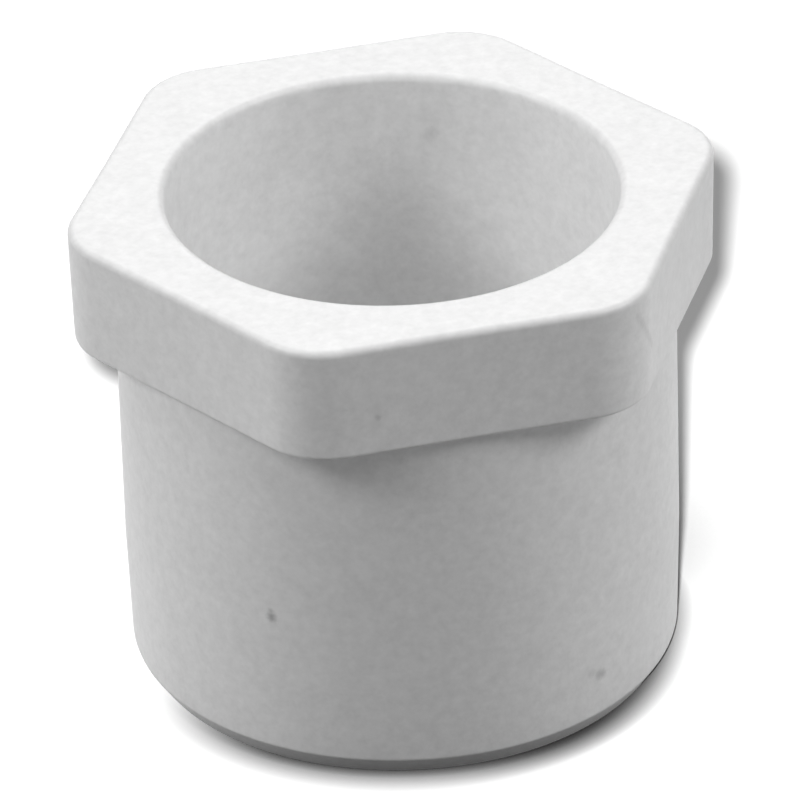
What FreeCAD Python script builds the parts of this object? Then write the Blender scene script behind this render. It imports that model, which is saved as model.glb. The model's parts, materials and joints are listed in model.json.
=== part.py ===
import FreeCAD, Part
import math
import os

# Reducing bushing for solvent-weld pipe, moulded in one piece. Millimetres.
# The origin is the centre of the spigot's end face, and +Z runs up the bore to the hexagon head.
# Two opposite corners of the hexagon lie on the X axis.

up = FreeCAD.Vector(0, 0, 1)
centre = FreeCAD.Vector(0, 0, 0)

# Spigot, which goes into the socket of a larger fitting
spigot_radius = 13.335  # outside radius of 3/4 inch pipe
spigot_length = 18.8  # end face to the underside of the head
lead_length = 6.5  # end face to where the full radius begins
lead_draft_deg = 1.5  # lean of the tapered stretch
end_chamfer_height = 1.0
end_chamfer_depth = 0.65

# Hexagon head
head_height = 5.9
shoulder_step = 0.6  # how far each flat stands out from the spigot, at the underside
head_draft_deg = 1.0  # the head widens towards its top face by this lean
corner_radius = 3.7
top_edge_radius = 0.35
root_fillet_radius = 0.3

# Socket, which takes the smaller pipe
pipe_radius = 10.668  # outside radius of 1/2 inch pipe
seat_clearance = 0.05  # round the pipe in the straight seat
mouth_clearance = 0.10  # round the pipe at the mouth
entry_length = 5.0  # tapered stretch under the mouth
socket_depth = 17.5
lip_radius = 0.4
stop_bevel = 0.35  # in the corner between the seat and the pipe stop

# Waterway through the pipe stop
waterway_radius = 7.9
waterway_bevel = 0.5  # at both ends

# Sizes that follow
overall_length = spigot_length + head_height
flats_at_underside = spigot_radius + shoulder_step
flats_at_top = flats_at_underside + head_height * math.tan(math.radians(head_draft_deg))
lead_drop = (lead_length - end_chamfer_height) * math.tan(math.radians(lead_draft_deg))
seat_radius = pipe_radius + seat_clearance
mouth_radius = pipe_radius + mouth_clearance
stop_height = overall_length - socket_depth


def point(radius, height):
    return FreeCAD.Vector(radius, 0, height)


def line(start, finish):
    return Part.makeLine(start, finish)


def turned(edges):
    """The solid that a closed profile sweeps round the Z axis."""
    profile = Part.Face(Part.Wire(edges))
    return profile.revolve(centre, up, 360)


def spigot():
    """The round barrel: chamfered end, tapered lead, then the full radius up into the head."""
    end = point(spigot_radius - lead_drop - end_chamfer_depth, 0)
    chamfer_top = point(spigot_radius - lead_drop, end_chamfer_height)
    lead_top = point(spigot_radius, lead_length)
    inside_head = point(spigot_radius, overall_length - head_height / 2)
    corners = [point(0, 0), end, chamfer_top, lead_top, inside_head, point(0, inside_head.z)]
    return turned([line(a, b) for a, b in zip(corners, corners[1:] + corners[:1])])


def hexagon_corners(half_across_flats, height):
    to_corner = half_across_flats / math.cos(math.pi / 6)
    corners = []
    for side in range(6):
        heading = math.radians(60 * side)
        corners.append(FreeCAD.Vector(to_corner * math.cos(heading), to_corner * math.sin(heading), height))
    return corners


def flat_face(corners):
    return Part.Face(Part.makePolygon(corners + corners[:1]))


def head():
    """The hexagon block, drafted so that it narrows downwards, with rounded corners and a soft top edge."""
    underside = hexagon_corners(flats_at_underside, spigot_length)
    top = hexagon_corners(flats_at_top, overall_length)
    faces = [flat_face(underside[::-1]), flat_face(top)]
    for side in range(6):
        following = (side + 1) % 6
        faces.append(flat_face([underside[side], underside[following], top[following], top[side]]))
    block = Part.makeSolid(Part.makeShell(faces))
    corner_edges = [e for e in block.Edges if e.BoundBox.ZLength > head_height / 2]
    block = block.makeFillet(corner_radius, corner_edges)
    rim = [e for e in block.Edges if e.BoundBox.ZMin > overall_length - 1e-4]
    return block.makeFillet(top_edge_radius, rim)


def bore():
    """Everything that is open inside: lip, tapered entry, straight seat, pipe stop and waterway."""
    past_face = lip_radius
    lip_foot = point(mouth_radius, overall_length - lip_radius)
    lip_edge = point(mouth_radius + lip_radius, overall_length)
    lip_slope = lip_radius * (1 - math.cos(math.pi / 4))
    lip_crest = point(mouth_radius + lip_slope, overall_length - lip_slope)
    corners = [
        lip_foot,
        point(seat_radius, overall_length - entry_length),
        point(seat_radius, stop_height + stop_bevel),
        point(seat_radius - stop_bevel, stop_height),
        point(waterway_radius + waterway_bevel, stop_height),
        point(waterway_radius, stop_height - waterway_bevel),
        point(waterway_radius, waterway_bevel),
        point(waterway_radius + waterway_bevel, 0),
        point(waterway_radius + waterway_bevel, -past_face),
        point(0, -past_face),
        point(0, overall_length + past_face),
        point(lip_edge.x, overall_length + past_face),
        lip_edge,
    ]
    edges = [line(a, b) for a, b in zip(corners, corners[1:])]
    edges.append(Part.Arc(lip_edge, lip_crest, lip_foot).toShape())
    return turned(edges)


def reducing_bushing():
    """One moulding: hexagon head, spigot, and the stepped bore through both."""
    body = head().fuse(spigot()).removeSplitter()
    root = [
        e
        for e in body.Edges
        if abs(e.BoundBox.ZMin - spigot_length) < 1e-4
        and abs(e.BoundBox.ZMax - spigot_length) < 1e-4
        and abs(e.BoundBox.XMax - spigot_radius) < 1e-2
    ]
    body = body.makeFillet(min(root_fillet_radius, shoulder_step / 2), root)
    return body.cut(bore()).removeSplitter()


os.makedirs("parts", exist_ok=True)
reducing_bushing().exportStep("parts/reducing_bushing.step")
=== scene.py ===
import json
import math

import bpy
from mathutils import Matrix, Vector

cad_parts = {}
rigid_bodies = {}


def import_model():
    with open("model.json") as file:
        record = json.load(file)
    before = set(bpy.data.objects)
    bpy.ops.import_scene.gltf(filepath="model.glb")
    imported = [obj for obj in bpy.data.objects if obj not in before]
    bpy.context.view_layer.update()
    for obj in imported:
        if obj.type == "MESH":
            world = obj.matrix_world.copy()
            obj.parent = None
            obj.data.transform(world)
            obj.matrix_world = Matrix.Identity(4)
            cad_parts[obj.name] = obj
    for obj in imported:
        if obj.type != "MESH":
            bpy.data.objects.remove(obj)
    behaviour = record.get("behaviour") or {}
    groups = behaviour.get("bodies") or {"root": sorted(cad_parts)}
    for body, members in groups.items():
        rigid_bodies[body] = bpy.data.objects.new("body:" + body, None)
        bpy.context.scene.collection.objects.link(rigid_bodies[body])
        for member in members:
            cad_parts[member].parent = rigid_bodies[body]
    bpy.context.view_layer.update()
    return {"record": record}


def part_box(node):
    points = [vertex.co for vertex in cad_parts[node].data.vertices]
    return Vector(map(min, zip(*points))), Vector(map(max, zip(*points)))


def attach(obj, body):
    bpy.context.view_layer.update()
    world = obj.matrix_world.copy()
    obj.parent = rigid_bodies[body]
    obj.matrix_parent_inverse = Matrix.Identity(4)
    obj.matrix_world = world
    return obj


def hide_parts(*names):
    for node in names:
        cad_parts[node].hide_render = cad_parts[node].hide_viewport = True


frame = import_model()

mm = 0.001
mounts = {mount["name"]: mount for mount in frame["record"]["mounts"]}
bushingLow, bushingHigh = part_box("reducing_bushing")


# Small helpers for node trees

def addNode(tree, kind, place=(0, 0), **settings):
    node = tree.nodes.new(kind)
    node.location = (place[0] * 190, place[1] * -170)
    for name, value in settings.items():
        setattr(node, name, value)
    return node


def feed(tree, socket, source):
    # A source is another node's output, or a plain value
    if isinstance(source, bpy.types.NodeSocket):
        tree.links.new(source, socket)
    else:
        socket.default_value = source


def calc(tree, operation, *sources, place=(0, 0), clamp=False):
    node = addNode(tree, "ShaderNodeMath", place, operation=operation, use_clamp=clamp)
    for socket, source in zip(node.inputs, sources):
        feed(tree, socket, source)
    return node.outputs[0]


def vectorCalc(tree, operation, first, second, place):
    node = addNode(tree, "ShaderNodeVectorMath", place, operation=operation)
    feed(tree, node.inputs[0], first)
    if second is not None:
        feed(tree, node.inputs[1], second)
    return node.outputs["Value" if operation in ("DOT_PRODUCT", "DISTANCE", "LENGTH") else "Vector"]


def blend(tree, share, atZero, atOne, place):
    node = addNode(tree, "ShaderNodeMix", place, data_type="FLOAT")
    for socket, source in zip((node.inputs[0], node.inputs[2], node.inputs[3]), (share, atZero, atOne)):
        feed(tree, socket, source)
    return node.outputs[0]


def smoothRamp(tree, value, start, end, place):
    # Rises from 0 at start to 1 at end, gently at both
    node = addNode(tree, "ShaderNodeMapRange", place, interpolation_type="SMOOTHSTEP")
    for name, source in (("Value", value), ("From Min", start), ("From Max", end)):
        feed(tree, node.inputs[name], source)
    return node.outputs["Result"]


def addSockets(tree, direction, kind, names):
    for name in names:
        tree.interface.new_socket(name=name, in_out=direction, socket_type=kind)


# The moulding's section in mm, from the waterway up the bore, over the head and down the spigot

section = {
    "waterwayRadius": 7.9,
    "waterwayBevel": 0.5,
    "stopHeight": 7.2,
    "stopBevel": 0.35,
    "entryLength": 5.0,
    "mouthFlare": 0.05,  # how much wider the mouth is than the seat
    "lipRadius": 0.4,
    "cornerRadius": 3.7,  # of the hexagon
    "headDraftDegrees": 1.0,
    "rimRadius": 0.35,
    "underEdgeRadius": 0.26,
    "shoulderStep": 0.6,
    "rootRadius": 0.3,
    "leadLength": 6.5,
    "leadDraftDegrees": 1.5,
    "chamferHeight": 1.0,
    "chamferDepth": 0.65,
    "softCorner": 0.16,  # on bevels
    "flatSink": 0.03,  # how far each wrench flat sinks towards its middle
    "arcSteps": 7,
    "edgeRow": 0.07,  # from a rounded corner to the extra row that keeps its shading tight
    "columns": 540,
    "mergeWithin": 0.002,
}


def roundedSection(corners, arcSteps, edgeRow):
    # Each corner is (radius, height, rounding, hexagon corner radius or 0). Rows come out in order, closed.
    rows = []
    for index, (x, z, rounding, hexCorner) in enumerate(corners):
        here = Vector((x, z))
        before = Vector(corners[index - 1][:2]) - here
        after = Vector(corners[(index + 1) % len(corners)][:2]) - here
        a, b = before.normalized(), after.normalized()
        turn = math.pi - a.angle(b)
        if rounding == 0 or turn < 1e-3:
            rows.append((x, z, hexCorner, 0.0))
            continue
        reach = rounding * math.tan(turn / 2)
        middle = here + (a + b).normalized() * (rounding / math.cos(turn / 2))
        spokeIn = here + a * reach - middle
        side = 1 if spokeIn.cross(here + b * reach - middle) > 0 else -1
        lead = here + a * (reach + edgeRow)
        rows.append((lead.x, lead.y, hexCorner, 0.0))
        for step in range(arcSteps + 1):
            swing = side * turn * step / arcSteps
            spoke = Vector((
                spokeIn.x * math.cos(swing) - spokeIn.y * math.sin(swing),
                spokeIn.x * math.sin(swing) + spokeIn.y * math.cos(swing),
            ))
            spot = middle + spoke
            softness = math.sin(math.pi * step / arcSteps)
            rows.append((spot.x, spot.y, hexCorner - (x - spot.x) if hexCorner else 0.0, softness))
        trail = here + b * (reach + edgeRow)
        rows.append((trail.x, trail.y, hexCorner, 0.0))
    return rows


def bushingRows():
    s = section
    top = bushingHigh.z / mm
    under = mounts["head_underside"]["pos_m"][2] / mm
    seat = mounts["socket"]["dims"]["r_mm"]
    barrel = mounts["spigot"]["dims"]["r_mm"]
    flatsUnder = barrel + s["shoulderStep"]
    flatsTop = flatsUnder + (top - under) * math.tan(math.radians(s["headDraftDegrees"]))
    leadDrop = (s["leadLength"] - s["chamferHeight"]) * math.tan(math.radians(s["leadDraftDegrees"]))
    mouth = seat + s["mouthFlare"]
    soft = s["softCorner"]
    corners = [
        (s["waterwayRadius"] + s["waterwayBevel"], 0, soft, 0),
        (s["waterwayRadius"], s["waterwayBevel"], soft, 0),
        (s["waterwayRadius"], s["stopHeight"] - s["waterwayBevel"], soft, 0),
        (s["waterwayRadius"] + s["waterwayBevel"], s["stopHeight"], soft, 0),
        (seat - s["stopBevel"], s["stopHeight"], soft, 0),
        (seat, s["stopHeight"] + s["stopBevel"], soft, 0),
        (seat, top - s["entryLength"], 0, 0),
        (mouth, top, s["lipRadius"], 0),
        (flatsTop, top, s["rimRadius"], s["cornerRadius"]),
        (flatsUnder, under, s["underEdgeRadius"], s["cornerRadius"]),
        (barrel, under, s["rootRadius"], 0),
        (barrel, s["leadLength"], 0, 0),
        (barrel - leadDrop, s["chamferHeight"], soft * 2, 0),
        (barrel - leadDrop - s["chamferDepth"], 0, soft, 0),
    ]
    return roundedSection(corners, s["arcSteps"], s["edgeRow"])


def sectionMesh(rows):
    # A closed run of points, with each row's hexagon corner radius and edge softness kept as attributes
    mesh = bpy.data.meshes.new("sectionLine")
    points = [(x * mm, 0, z * mm) for x, z, hexCorner, softness in rows + rows[:1]]
    mesh.from_pydata(points, [(i, i + 1) for i in range(len(points) - 1)], [])
    corner = mesh.attributes.new("hexCorner", "FLOAT", "POINT")
    softEdge = mesh.attributes.new("softEdge", "FLOAT", "POINT")
    for index, row in enumerate(rows + rows[:1]):
        corner.data[index].value = row[2] * mm
        softEdge.data[index].value = row[3]
    return mesh


def hexagonReach(tree, angle, flats, corner, sink):
    # Distance from the axis to a rounded hexagon's outline, with corners on 0, 60, 120 degrees and so on
    halfSide = math.radians(30)
    wrapped = calc(tree, "WRAP", angle, halfSide, -halfSide, place=(4, 3))
    fromCorner = calc(tree, "ABSOLUTE", wrapped, place=(5, 3))
    inset = calc(tree, "SUBTRACT", flats, corner, place=(4, 4))
    arcOut = calc(tree, "DIVIDE", inset, math.cos(halfSide), place=(5, 4))
    arcEnd = calc(
        tree, "ARCTAN2",
        calc(tree, "MULTIPLY", corner, math.sin(halfSide), place=(5, 6)),
        calc(tree, "MULTIPLY_ADD", corner, math.cos(halfSide), arcOut, place=(6, 6)),
        place=(7, 6),
    )
    along = calc(tree, "MULTIPLY", arcOut, calc(tree, "COSINE", fromCorner, place=(6, 4)), place=(7, 4))
    across = calc(tree, "MULTIPLY", arcOut, calc(tree, "SINE", fromCorner, place=(6, 5)), place=(7, 5))
    room = calc(
        tree, "SUBTRACT",
        calc(tree, "MULTIPLY", corner, corner, place=(7, 7)),
        calc(tree, "MULTIPLY", across, across, place=(8, 5)),
        place=(9, 5),
    )
    onward = calc(tree, "SQRT", calc(tree, "MAXIMUM", room, 0.0, place=(10, 5)), place=(11, 5))
    onArc = calc(tree, "ADD", along, onward, place=(12, 4))
    alongFlat = calc(
        tree, "DIVIDE",
        calc(tree, "SUBTRACT", fromCorner, arcEnd, place=(8, 6)),
        calc(tree, "SUBTRACT", halfSide, arcEnd, place=(8, 7)),
        place=(9, 6), clamp=True,
    )
    hollow = calc(tree, "MULTIPLY", sink, alongFlat, place=(10, 6))
    sunk = calc(tree, "SUBTRACT", flats, hollow, place=(12, 6))
    fromMiddle = calc(tree, "SUBTRACT", halfSide, fromCorner, place=(6, 3))
    onFlat = calc(tree, "DIVIDE", sunk, calc(tree, "COSINE", fromMiddle, place=(7, 3)), place=(13, 5))
    return blend(tree, calc(tree, "LESS_THAN", fromCorner, arcEnd, place=(13, 3)), onFlat, onArc, (14, 4))


def turnedMouldingTree():
    # Turns the section line round Z. Rows with a hexagon corner radius follow the hexagon, the rest a circle.
    tree = bpy.data.node_groups.new("turnedMoulding", "GeometryNodeTree")
    addSockets(tree, "INPUT", "NodeSocketGeometry", ["Section"])
    addSockets(tree, "INPUT", "NodeSocketInt", ["Rows", "Columns"])
    addSockets(tree, "INPUT", "NodeSocketFloat", ["Flat Sink", "Merge Within"])
    addSockets(tree, "INPUT", "NodeSocketMaterial", ["Material"])
    addSockets(tree, "OUTPUT", "NodeSocketGeometry", ["Moulding"])
    given = addNode(tree, "NodeGroupInput", (-4, 0)).outputs
    grid = addNode(tree, "GeometryNodeMeshGrid", (-2, 0))
    feed(tree, grid.inputs["Size X"], 1.0)
    feed(tree, grid.inputs["Size Y"], 1.0)
    feed(tree, grid.inputs["Vertices X"], given["Rows"])
    feed(tree, grid.inputs["Vertices Y"], given["Columns"])
    spot = addNode(tree, "ShaderNodeSeparateXYZ", (-1, 2))
    feed(tree, spot.inputs[0], addNode(tree, "GeometryNodeInputPosition", (-2, 2)).outputs[0])
    lastRow = calc(tree, "SUBTRACT", given["Rows"], 1.0, place=(-2, 3))
    rowShare, turnShare = (  # 0 to 1, because the grid is centred and 1 wide
        calc(tree, "ADD", spot.outputs[side], 0.5, place=(0, down)) for side, down in (("X", 2), ("Y", 3))
    )
    row = calc(tree, "ROUND", calc(tree, "MULTIPLY", rowShare, lastRow, place=(1, 2)), place=(2, 2))
    angle = calc(tree, "MULTIPLY", turnShare, math.tau, place=(1, 3))

    def fromSection(value, dataType, place):
        sample = addNode(
            tree, "GeometryNodeSampleIndex", place, data_type=dataType, domain="POINT", clamp=True
        )
        feed(tree, sample.inputs["Geometry"], given["Section"])
        feed(tree, sample.inputs["Value"], value)
        feed(tree, sample.inputs["Index"], row)
        return sample.outputs["Value"]

    def rowValue(name, place):
        before = (place[0] - 1, place[1])
        named = addNode(tree, "GeometryNodeInputNamedAttribute", before, data_type="FLOAT")
        named.inputs["Name"].default_value = name
        return fromSection(named.outputs["Attribute"], "FLOAT", place)

    sectionSpot = addNode(tree, "GeometryNodeInputPosition", (2, 1)).outputs[0]
    line = addNode(tree, "ShaderNodeSeparateXYZ", (4, 1))
    feed(tree, line.inputs[0], fromSection(sectionSpot, "FLOAT_VECTOR", (3, 1)))
    corner = rowValue("hexCorner", (3, 4))
    hexed = hexagonReach(tree, angle, line.outputs["X"], corner, given["Flat Sink"])
    isHexagon = calc(tree, "GREATER_THAN", corner, 0.0, place=(14, 2))
    reach = blend(tree, isHexagon, line.outputs["X"], hexed, (15, 2))
    place = addNode(tree, "ShaderNodeCombineXYZ", (17, 1))
    for axis, wave in enumerate(("COSINE", "SINE")):
        swing = calc(tree, wave, angle, place=(15, 4 + axis))
        feed(tree, place.inputs[axis], calc(tree, "MULTIPLY", reach, swing, place=(16, 3 + axis)))
    feed(tree, place.inputs[2], line.outputs["Z"])
    softRow = addNode(tree, "GeometryNodeStoreNamedAttribute", (17, 0), data_type="FLOAT", domain="POINT")
    softRow.inputs["Name"].default_value = "softEdge"
    feed(tree, softRow.inputs["Geometry"], grid.outputs["Mesh"])
    feed(tree, softRow.inputs["Value"], rowValue("softEdge", (16, 6)))
    moved = addNode(tree, "GeometryNodeSetPosition", (18, 0))
    feed(tree, moved.inputs["Geometry"], softRow.outputs["Geometry"])
    feed(tree, moved.inputs["Position"], place.outputs[0])
    closed = addNode(tree, "GeometryNodeMergeByDistance", (19, 0))
    feed(tree, closed.inputs["Geometry"], moved.outputs["Geometry"])
    feed(tree, closed.inputs["Distance"], given["Merge Within"])
    smooth = addNode(tree, "GeometryNodeSetShadeSmooth", (20, 0))
    feed(tree, smooth.inputs["Geometry"], closed.outputs["Geometry"])
    real = addNode(tree, "GeometryNodeRealizeInstances", (21, 0))
    feed(tree, real.inputs["Geometry"], smooth.outputs["Geometry"])
    dressed = addNode(tree, "GeometryNodeSetMaterial", (22, 0))
    feed(tree, dressed.inputs["Geometry"], real.outputs["Geometry"])
    feed(tree, dressed.inputs["Material"], given["Material"])
    feed(tree, addNode(tree, "NodeGroupOutput", (23, 0)).inputs["Moulding"], dressed.outputs["Geometry"])
    return tree


def setInput(modifier, name, value):
    for item in modifier.node_group.interface.items_tree:
        if item.item_type == "SOCKET" and item.in_out == "INPUT" and item.name == name:
            modifier[item.identifier] = value


def makeBushing(material):
    rows = bushingRows()
    source = bpy.data.objects.new("bushingSection", sectionMesh(rows))
    bpy.context.scene.collection.objects.link(source)
    modifier = source.modifiers.new("turning", "NODES")
    modifier.node_group = turnedMouldingTree()
    setInput(modifier, "Rows", len(rows) + 1)
    setInput(modifier, "Columns", section["columns"] + 1)
    setInput(modifier, "Flat Sink", section["flatSink"] * mm)
    setInput(modifier, "Merge Within", section["mergeWithin"] * mm)
    setInput(modifier, "Material", material)
    depsgraph = bpy.context.evaluated_depsgraph_get()
    mesh = bpy.data.meshes.new_from_object(source.evaluated_get(depsgraph))
    mesh.name = "bushingBody"
    bpy.data.objects.remove(source)
    body = bpy.data.objects.new("bushingBody", mesh)
    bpy.context.scene.collection.objects.link(body)
    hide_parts("reducing_bushing")
    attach(body, "root")
    print("bushing body:", len(rows), "rows,", len(mesh.polygons), "faces")
    return body


# The moulded plastic's finish

pvcFinish = {
    "white": 0.88,
    "scuffGrey": 0.30,
    "roughness": 0.47,
    "edgePolish": 0.07,  # handled edges are a little glossier
    "edgePatch": 1.5 * mm,  # how broad the rubbed stretches are
    "flowRoughness": 0.05,
    "streakSize": 1.2 * mm,
    "grainSize": 0.22 * mm,
    "mottleSize": 0.55 * mm,
    "cloudSize": 1.8 * mm,
    "toneSpread": 0.09,
    "grainDepth": 0.014 * mm,
}

# Small marks. Name, angle round the axis, height from, angle, height to, half width, depth of tone
bushingMarks = [
    ("barrelNick", 228.0, 8.39, 228.0, 8.31, 0.19, 0.74),
    ("barrelNickTail", 227.9, 8.66, 228.0, 8.44, 0.13, 0.46),
    ("barrelSmudge", 300.3, 3.15, 299.6, 3.20, 0.22, 0.46),
    ("barrelSmudgeTail", 297.6, 3.45, 297.2, 3.50, 0.18, 0.20),
    ("boreSpot", 65.4, 21.60, 65.6, 21.54, 0.30, 0.20),
    ("boreSpotAbove", 67.0, 22.75, 67.0, 22.30, 0.26, 0.08),
    ("flatSpot", 252.2, 20.88, 252.3, 20.84, 0.11, 0.30),
    ("cornerScuff", 301.8, 23.60, 307.3, 21.25, 0.15, 0.19),
]


def makeGroup(name, given, made):
    tree = bpy.data.node_groups.new(name, "ShaderNodeTree")
    for direction, sockets in (("INPUT", given), ("OUTPUT", made)):
        for socketName, kind in sockets:
            addSockets(tree, direction, "NodeSocket" + kind, [socketName])
    inlet = addNode(tree, "NodeGroupInput", (-6, 0))
    outlet = addNode(tree, "NodeGroupOutput", (8, 0))
    return tree, inlet.outputs, outlet.inputs


def noiseAt(tree, position, size, detail, place):
    noise = addNode(tree, "ShaderNodeTexNoise", place)
    feed(tree, noise.inputs["Vector"], position)
    feed(tree, noise.inputs["Scale"], calc(tree, "DIVIDE", 1.0, size, place=(place[0] - 1, place[1])))
    noise.inputs["Detail"].default_value = detail
    return noise.outputs["Fac"]


def mouldGrainGroup():
    # Fine grain, mottling and broad cloudiness, as a tone about one half and a height
    tree, given, made = makeGroup(
        "mouldGrain",
        [("Position", "Vector"), ("Grain Size", "Float"), ("Mottle Size", "Float"), ("Cloud Size", "Float")],
        [("Tone", "Float"), ("Height", "Float")],
    )
    grain = noiseAt(tree, given["Position"], given["Grain Size"], 1.0, (-3, 2))
    mottle = noiseAt(tree, given["Position"], given["Mottle Size"], 2.0, (-3, 0))
    cloud = noiseAt(tree, given["Position"], given["Cloud Size"], 2.0, (-3, -2))

    def weighted(noises, down):
        # A weighted sum, with weights that add up to one
        total = 0.0
        for step, (noise, weight) in enumerate(noises):
            total = calc(tree, "MULTIPLY_ADD", noise, weight, total, place=(step, down))
        return total

    feed(tree, made["Tone"], weighted([(grain, 0.25), (mottle, 0.50), (cloud, 0.25)], 1))
    feed(tree, made["Height"], weighted([(grain, 0.4), (mottle, 0.6)], 3))
    return tree


def flowLineGroup():
    # Faint streaks along the draw of the mould
    tree, given, made = makeGroup(
        "flowLines", [("Position", "Vector"), ("Streak Size", "Float")], [("Streaks", "Float")]
    )
    longInZ = (1, 1, 0.12)
    drawn = vectorCalc(tree, "MULTIPLY", given["Position"], longInZ, (-4, 0))
    feed(tree, made["Streaks"], noiseAt(tree, drawn, given["Streak Size"], 2.0, (-2, 0)))
    return tree


def brokenEdgeGroup():
    # Where edges are rubbed, broken up so that it isn't an even line
    tree, given, made = makeGroup(
        "brokenEdge",
        [("Position", "Vector"), ("Edge", "Float"), ("Patch Size", "Float")],
        [("Mask", "Float")],
    )
    patch = noiseAt(tree, given["Position"], given["Patch Size"], 2.0, (-2, 0))
    kept = calc(tree, "MULTIPLY_ADD", patch, 0.8, 0.2, place=(0, 0))  # never wholly gone
    feed(tree, made["Mask"], calc(tree, "MULTIPLY", given["Edge"], kept, place=(1, 0), clamp=True))
    return tree


def scuffGroup():
    # A soft-edged mark along a short straight line
    tree, given, made = makeGroup(
        "scuff",
        [
            ("Position", "Vector"), ("From", "Vector"), ("To", "Vector"),
            ("Half Width", "Float"), ("Strength", "Float"),
        ],
        [("Mask", "Float")],
    )
    run = vectorCalc(tree, "SUBTRACT", given["To"], given["From"], (-4, 1))
    away = vectorCalc(tree, "SUBTRACT", given["Position"], given["From"], (-4, 0))
    along = vectorCalc(tree, "DOT_PRODUCT", away, run, (-3, 0))
    squared = vectorCalc(tree, "DOT_PRODUCT", run, run, (-3, 1))
    share = calc(tree, "DIVIDE", along, squared, place=(-2, 0), clamp=True)
    nearest = addNode(tree, "ShaderNodeVectorMath", (-1, 0), operation="SCALE")
    feed(tree, nearest.inputs[0], run)
    feed(tree, nearest.inputs["Scale"], share)
    gap = vectorCalc(tree, "DISTANCE", away, nearest.outputs["Vector"], (0, 0))
    raggedSize = calc(tree, "MULTIPLY", given["Half Width"], 0.8, place=(-3, 3))
    ragged = noiseAt(tree, given["Position"], raggedSize, 2.0, (-1, 3))
    width = calc(tree, "ADD", ragged, 0.75, place=(0, 3))  # 0.75 to 1.75 times the stated width
    reach = calc(tree, "MULTIPLY", given["Half Width"], width, place=(1, 3))
    faded = smoothRamp(tree, calc(tree, "DIVIDE", gap, reach, place=(2, 1)), 0.0, 1.6, (3, 1))
    left = calc(tree, "SUBTRACT", 1.0, faded, place=(4, 1))
    feed(tree, made["Mask"], calc(tree, "MULTIPLY", left, given["Strength"], place=(5, 1)))
    return tree


def placeGroup(tree, group, place, **values):
    node = addNode(tree, "ShaderNodeGroup", place, node_tree=group)
    for name, value in values.items():
        feed(tree, node.inputs[name], value)
    return node.outputs


def hexagonRadius(angle, flats, corner):
    t = abs(math.radians((angle + 30) % 60 - 30))
    arcOut = (flats - corner) / math.cos(math.pi / 6)
    if t < math.atan2(corner / 2, arcOut + corner * math.cos(math.pi / 6)):
        return arcOut * math.cos(t) + math.sqrt(corner ** 2 - (arcOut * math.sin(t)) ** 2)
    return flats / math.cos(math.pi / 6 - t)


def skinPoint(name, angle, height):
    # The point of the bore, the hexagon or the barrel at this angle and height
    s = section
    under = mounts["head_underside"]["pos_m"][2] / mm
    barrel = mounts["spigot"]["dims"]["r_mm"]
    if name.startswith("bore"):
        radius = mounts["socket"]["dims"]["r_mm"] + s["mouthFlare"] / 2
    elif height > under:
        lean = math.tan(math.radians(s["headDraftDegrees"]))
        radius = hexagonRadius(angle, barrel + s["shoulderStep"] + (height - under) * lean, s["cornerRadius"])
    else:
        radius = barrel - max(0, s["leadLength"] - height) * math.tan(math.radians(s["leadDraftDegrees"]))
    turn = math.radians(angle)
    return Vector((radius * math.cos(turn), radius * math.sin(turn), height)) * mm


def pvcMaterial():
    f = pvcFinish
    material = bpy.data.materials.new("mouldedPvc")
    material.use_nodes = True
    tree = material.node_tree
    shader = tree.nodes["Principled BSDF"]
    position = addNode(tree, "ShaderNodeTexCoord", (-12, 0)).outputs["Object"]
    grain = placeGroup(
        tree, mouldGrainGroup(), (-10, 2), Position=position,
        **{"Grain Size": f["grainSize"], "Mottle Size": f["mottleSize"], "Cloud Size": f["cloudSize"]},
    )
    streaks = placeGroup(
        tree, flowLineGroup(), (-10, -1), Position=position, **{"Streak Size": f["streakSize"]},
    )["Streaks"]
    edge = addNode(tree, "ShaderNodeAttribute", (-12, -2), attribute_name="softEdge").outputs["Fac"]
    rubbed = placeGroup(
        tree, brokenEdgeGroup(), (-10, -2), Position=position, Edge=edge, **{"Patch Size": f["edgePatch"]},
    )["Mask"]
    scuff = scuffGroup()
    marks = 0.0
    for index, (name, angle, height, endAngle, endHeight, halfWidth, strength) in enumerate(bushingMarks):
        mask = placeGroup(
            tree, scuff, (-9, 5 + index), Position=position, Strength=strength,
            From=skinPoint(name, angle, height), To=skinPoint(name, endAngle, endHeight),
            **{"Half Width": halfWidth * mm},
        )["Mask"]
        marks = calc(tree, "MAXIMUM", marks, mask, place=(-8 + index, 5))
    plain = addNode(tree, "ShaderNodeMix", (-4, 2), data_type="RGBA")
    # The tone's middle half, from 0.25 to 0.75, fills the whole spread of white
    spread = calc(tree, "MULTIPLY_ADD", grain["Tone"], 2.0, -0.5, place=(-6, 2), clamp=True)
    feed(tree, plain.inputs[0], spread)
    for socket, shift in ((plain.inputs[6], -1), (plain.inputs[7], 1)):
        level = f["white"] * (1 + shift * f["toneSpread"])
        socket.default_value = (level, level, level, 1)
    marked = addNode(tree, "ShaderNodeMix", (-2, 2), data_type="RGBA")
    feed(tree, marked.inputs[0], marks)
    feed(tree, marked.inputs[6], plain.outputs[2])
    marked.inputs[7].default_value = (f["scuffGrey"],) * 3 + (1,)
    feed(tree, shader.inputs["Base Color"], marked.outputs[2])
    smoothest = f["roughness"] - f["flowRoughness"]
    base = calc(tree, "MULTIPLY_ADD", streaks, f["flowRoughness"] * 2, smoothest, place=(-6, -1))
    worn = calc(tree, "MULTIPLY_ADD", rubbed, -f["edgePolish"], base, place=(-4, -1))
    feed(tree, shader.inputs["Roughness"], worn)
    bump = addNode(tree, "ShaderNodeBump", (-3, -3))
    bump.inputs["Distance"].default_value = f["grainDepth"]
    bump.inputs["Strength"].default_value = 1.0
    feed(tree, bump.inputs["Height"], grain["Height"])
    feed(tree, shader.inputs["Normal"], bump.outputs["Normal"])
    return material


# Camera, floor and lights

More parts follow.
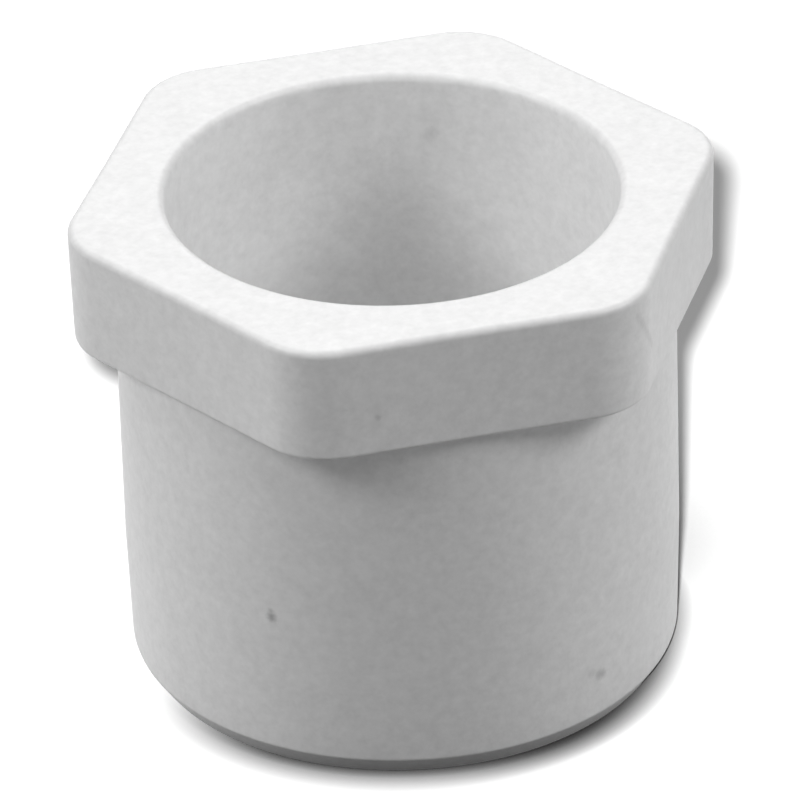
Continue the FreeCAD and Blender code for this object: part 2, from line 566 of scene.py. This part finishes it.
viewpoint = {
    "azimuth": -13.95,
    "elevation": 31.14,
    "lean": 1.73,  # how far the camera is rolled
    "distance": 430 * mm,
    "focalLength": 404.6,
    "right": 0.063 * mm,
    "up": 0.493 * mm,
}


def placeCamera():
    v = viewpoint
    a, e, lean = (math.radians(v[name]) for name in ("azimuth", "elevation", "lean"))
    back = Vector((math.sin(a) * math.cos(e), -math.cos(a) * math.cos(e), math.sin(e)))
    right = Vector((math.cos(a), math.sin(a), 0))
    up = back.cross(right)
    target = Vector((0, 0, (bushingLow.z + bushingHigh.z) / 2))
    spot = target + back * v["distance"] + right * v["right"] + up * v["up"]
    leaningRight = right * math.cos(lean) - up * math.sin(lean)
    leaningUp = right * math.sin(lean) + up * math.cos(lean)
    lens = bpy.data.cameras.new("viewCamera")
    lens.sensor_width = 36
    lens.lens = v["focalLength"]
    lens.clip_start = 0.01
    lens.clip_end = 20
    camera = bpy.data.objects.new("viewCamera", lens)
    bpy.context.scene.collection.objects.link(camera)
    turn = Matrix((leaningRight, leaningUp, back)).transposed().to_4x4()
    camera.matrix_world = Matrix.Translation(spot) @ turn
    bpy.context.scene.camera = camera


studio = {
    "floorSize": 3.0,
    "floorBounce": 0.016,  # what the floor sends back to the object
    "floorWhite": 0.55,
    "fadeFrom": 52 * mm,  # from the axis, where the floor starts turning into the plain white backdrop
    "fadeTo": 110 * mm,
    "paintedContactShadows": [  # azimuth from the camera, spread, reach and depth of the close shadows painted into the floor's colour
        (0, 0.3, 2.3 * mm, 1.8),
        (90, 0.45, 1.4 * mm, 1.4),
        (155, 0.2, 14 * mm, 1.6),
    ],
    "worldGrey": 0.272,
    # Name, azimuth from the camera, elevation, distance, width, watts, what it lights
    "lamps": [
        ("leftSoftbox", -75, 38, 0.7, 0.25, 1.92, "object"),
        ("rightSoftbox", 75, 38, 0.7, 0.25, 1.80, "object"),
        ("leftLowLamp", -75, 3, 0.7, 0.25, 0.38, "object"),
        ("rightLowLamp", 75, 3, 0.7, 0.25, 0.38, "object"),
        ("topSoftbox", -90, 70, 0.7, 0.25, 0.71, "object"),
        ("backSoftbox", 180, 45, 0.7, 0.4, 1.33, "object"),
        ("floorKey", -1.3, 32.8, 0.39, 0.014, 6.0, "floor"),
        ("floorFill", -140, 84, 1.0, 0.5, 3.4, "floor"),
    ],
}


def towards(azimuth, elevation):
    a, e = math.radians(viewpoint["azimuth"] + azimuth), math.radians(elevation)
    return Vector((math.sin(a) * math.cos(e), -math.cos(a) * math.cos(e), math.sin(e)))


def contactShadeGroup():
    # Painted shadow: darkens the floor's colour where the object stands close over it, on the side that its
    # shadow falls to.
    # The floor that shows through the bore, nearer the axis than Inner, stays as it is.
    tree, given, made = makeGroup(
        "contactShade",
        [
            ("Position", "Vector"), ("Falls To", "Vector"),
            ("Reach", "Float"), ("Depth", "Float"), ("Spread", "Float"), ("Inner", "Float"),
        ],
        [("Shade", "Float")],
    )
    contact = addNode(tree, "ShaderNodeAmbientOcclusion", (-4, 0), samples=16)
    feed(tree, contact.inputs["Distance"], given["Reach"])
    lit = calc(tree, "POWER", contact.outputs["AO"], given["Depth"], place=(-2, 0))
    full = calc(tree, "SUBTRACT", 1.0, lit, place=(-1, 0))
    outward = vectorCalc(tree, "NORMALIZE", given["Position"], None, (-4, 2))
    facing = vectorCalc(tree, "DOT_PRODUCT", outward, given["Falls To"], (-3, 2))
    # Full where the cosine from that side is past 1.2 less the spread, and none under 0.4 less the spread
    start = calc(tree, "SUBTRACT", 0.4, given["Spread"], place=(-3, 3))
    end = calc(tree, "SUBTRACT", 1.2, given["Spread"], place=(-3, 4))
    fallen = calc(tree, "MULTIPLY", full, smoothRamp(tree, facing, start, end, (-2, 2)), place=(0, 1))
    fromAxis = vectorCalc(tree, "LENGTH", given["Position"], None, (-2, 4))
    outside = calc(tree, "GREATER_THAN", fromAxis, given["Inner"], place=(0, 3))
    dark = calc(tree, "MULTIPLY", fallen, outside, place=(1, 1))
    feed(tree, made["Shade"], calc(tree, "SUBTRACT", 1.0, dark, place=(2, 1)))
    return tree


def floorMaterial():
    s = studio
    material = bpy.data.materials.new("paleFloor")
    material.use_nodes = True
    tree = material.node_tree
    tree.nodes.clear()
    path = addNode(tree, "ShaderNodeLightPath", (0, 0))
    seen = calc(tree, "MAXIMUM", path.outputs["Is Camera Ray"], path.outputs["Is Glossy Ray"], place=(1, 0))
    seen = calc(tree, "MAXIMUM", seen, path.outputs["Is Transmission Ray"], place=(2, 0))
    bounce = addNode(tree, "ShaderNodeBsdfDiffuse", (3, 1))
    bounce.inputs["Color"].default_value = (s["floorBounce"],) * 3 + (1,)
    position = addNode(tree, "ShaderNodeTexCoord", (0, 4)).outputs["Object"]
    group = contactShadeGroup()
    level = s["floorWhite"]
    # Painted shadow: each contact shade darkens the floor's white colour
    for index, (side, spread, reach, depth) in enumerate(s["paintedContactShadows"]):
        shade = placeGroup(
            tree, group, (1, 3 + index), Position=position, Reach=reach, Depth=depth, Spread=spread,
            Inner=mounts["socket"]["dims"]["r_mm"] * mm, **{"Falls To": towards(side, 0)},
        )["Shade"]
        level = calc(tree, "MULTIPLY", level, shade, place=(2, 3 + index))
    white = addNode(tree, "ShaderNodeBsdfDiffuse", (3, 2))
    feed(tree, white.inputs["Color"], level)
    away = vectorCalc(tree, "LENGTH", position, None, (1, 5))
    fade = smoothRamp(tree, away, s["fadeFrom"], s["fadeTo"], (2, 5))
    backdrop = addNode(tree, "ShaderNodeEmission", (3, 4))
    pale = addNode(tree, "ShaderNodeMixShader", (4, 3))
    surface = addNode(tree, "ShaderNodeMixShader", (5, 1))
    for mix, sources in ((pale, (fade, white.outputs[0], backdrop.outputs[0])),
                         (surface, (seen, bounce.outputs[0], pale.outputs[0]))):
        for socket, source in zip(mix.inputs, sources):
            feed(tree, socket, source)
    feed(tree, addNode(tree, "ShaderNodeOutputMaterial", (6, 1)).inputs["Surface"], surface.outputs[0])
    return material


def layFloor():
    half = studio["floorSize"] / 2
    mesh = bpy.data.meshes.new("floor")
    corners = [(-half, -half, 0), (half, -half, 0), (half, half, 0), (-half, half, 0)]
    mesh.from_pydata(corners, [], [(0, 1, 2, 3)])
    floor = bpy.data.objects.new("floor", mesh)
    bpy.context.scene.collection.objects.link(floor)
    floor.location.z = bushingLow.z
    mesh.materials.append(floorMaterial())
    return floor


def softLamp(name, azimuth, elevation, distance, width, watts, receivers):
    lamp = bpy.data.lights.new(name, "AREA")
    lamp.shape = "DISK"
    lamp.size = width
    lamp.energy = watts
    light = bpy.data.objects.new(name, lamp)
    bpy.context.scene.collection.objects.link(light)
    toLamp = towards(azimuth, elevation)
    light.location = Vector((0, 0, (bushingLow.z + bushingHigh.z) / 2)) + toLamp * distance
    light.rotation_euler = toLamp.to_track_quat("Z", "Y").to_euler()
    light.light_linking.receiver_collection = receivers


def receiverGroup(name, thing):
    group = bpy.data.collections.new(name)
    group.objects.link(thing)
    return group


def lightStudio(floor, body):
    world = bpy.data.worlds.new("studioAir")
    bpy.context.scene.world = world
    world.use_nodes = True
    tree = world.node_tree
    tree.nodes.clear()
    path = addNode(tree, "ShaderNodeLightPath", (0, 0))
    level = addNode(tree, "ShaderNodeMix", (1, 0), data_type="FLOAT")
    feed(tree, level.inputs[0], path.outputs["Is Camera Ray"])
    level.inputs[2].default_value = studio["worldGrey"]
    level.inputs[3].default_value = 1.0
    air = addNode(tree, "ShaderNodeBackground", (2, 0))
    feed(tree, air.inputs["Strength"], level.outputs[0])
    feed(tree, addNode(tree, "ShaderNodeOutputWorld", (3, 0)).inputs["Surface"], air.outputs[0])
    groups = {"object": receiverGroup("litObject", body), "floor": receiverGroup("litFloor", floor)}
    for *settings, lights in studio["lamps"]:
        softLamp(*settings, groups[lights])


placeCamera()
floor = layFloor()
bushingBody = makeBushing(pvcMaterial())
lightStudio(floor, bushingBody)
bpy.context.scene.view_settings.view_transform = "Standard"
print("floor and lights made")
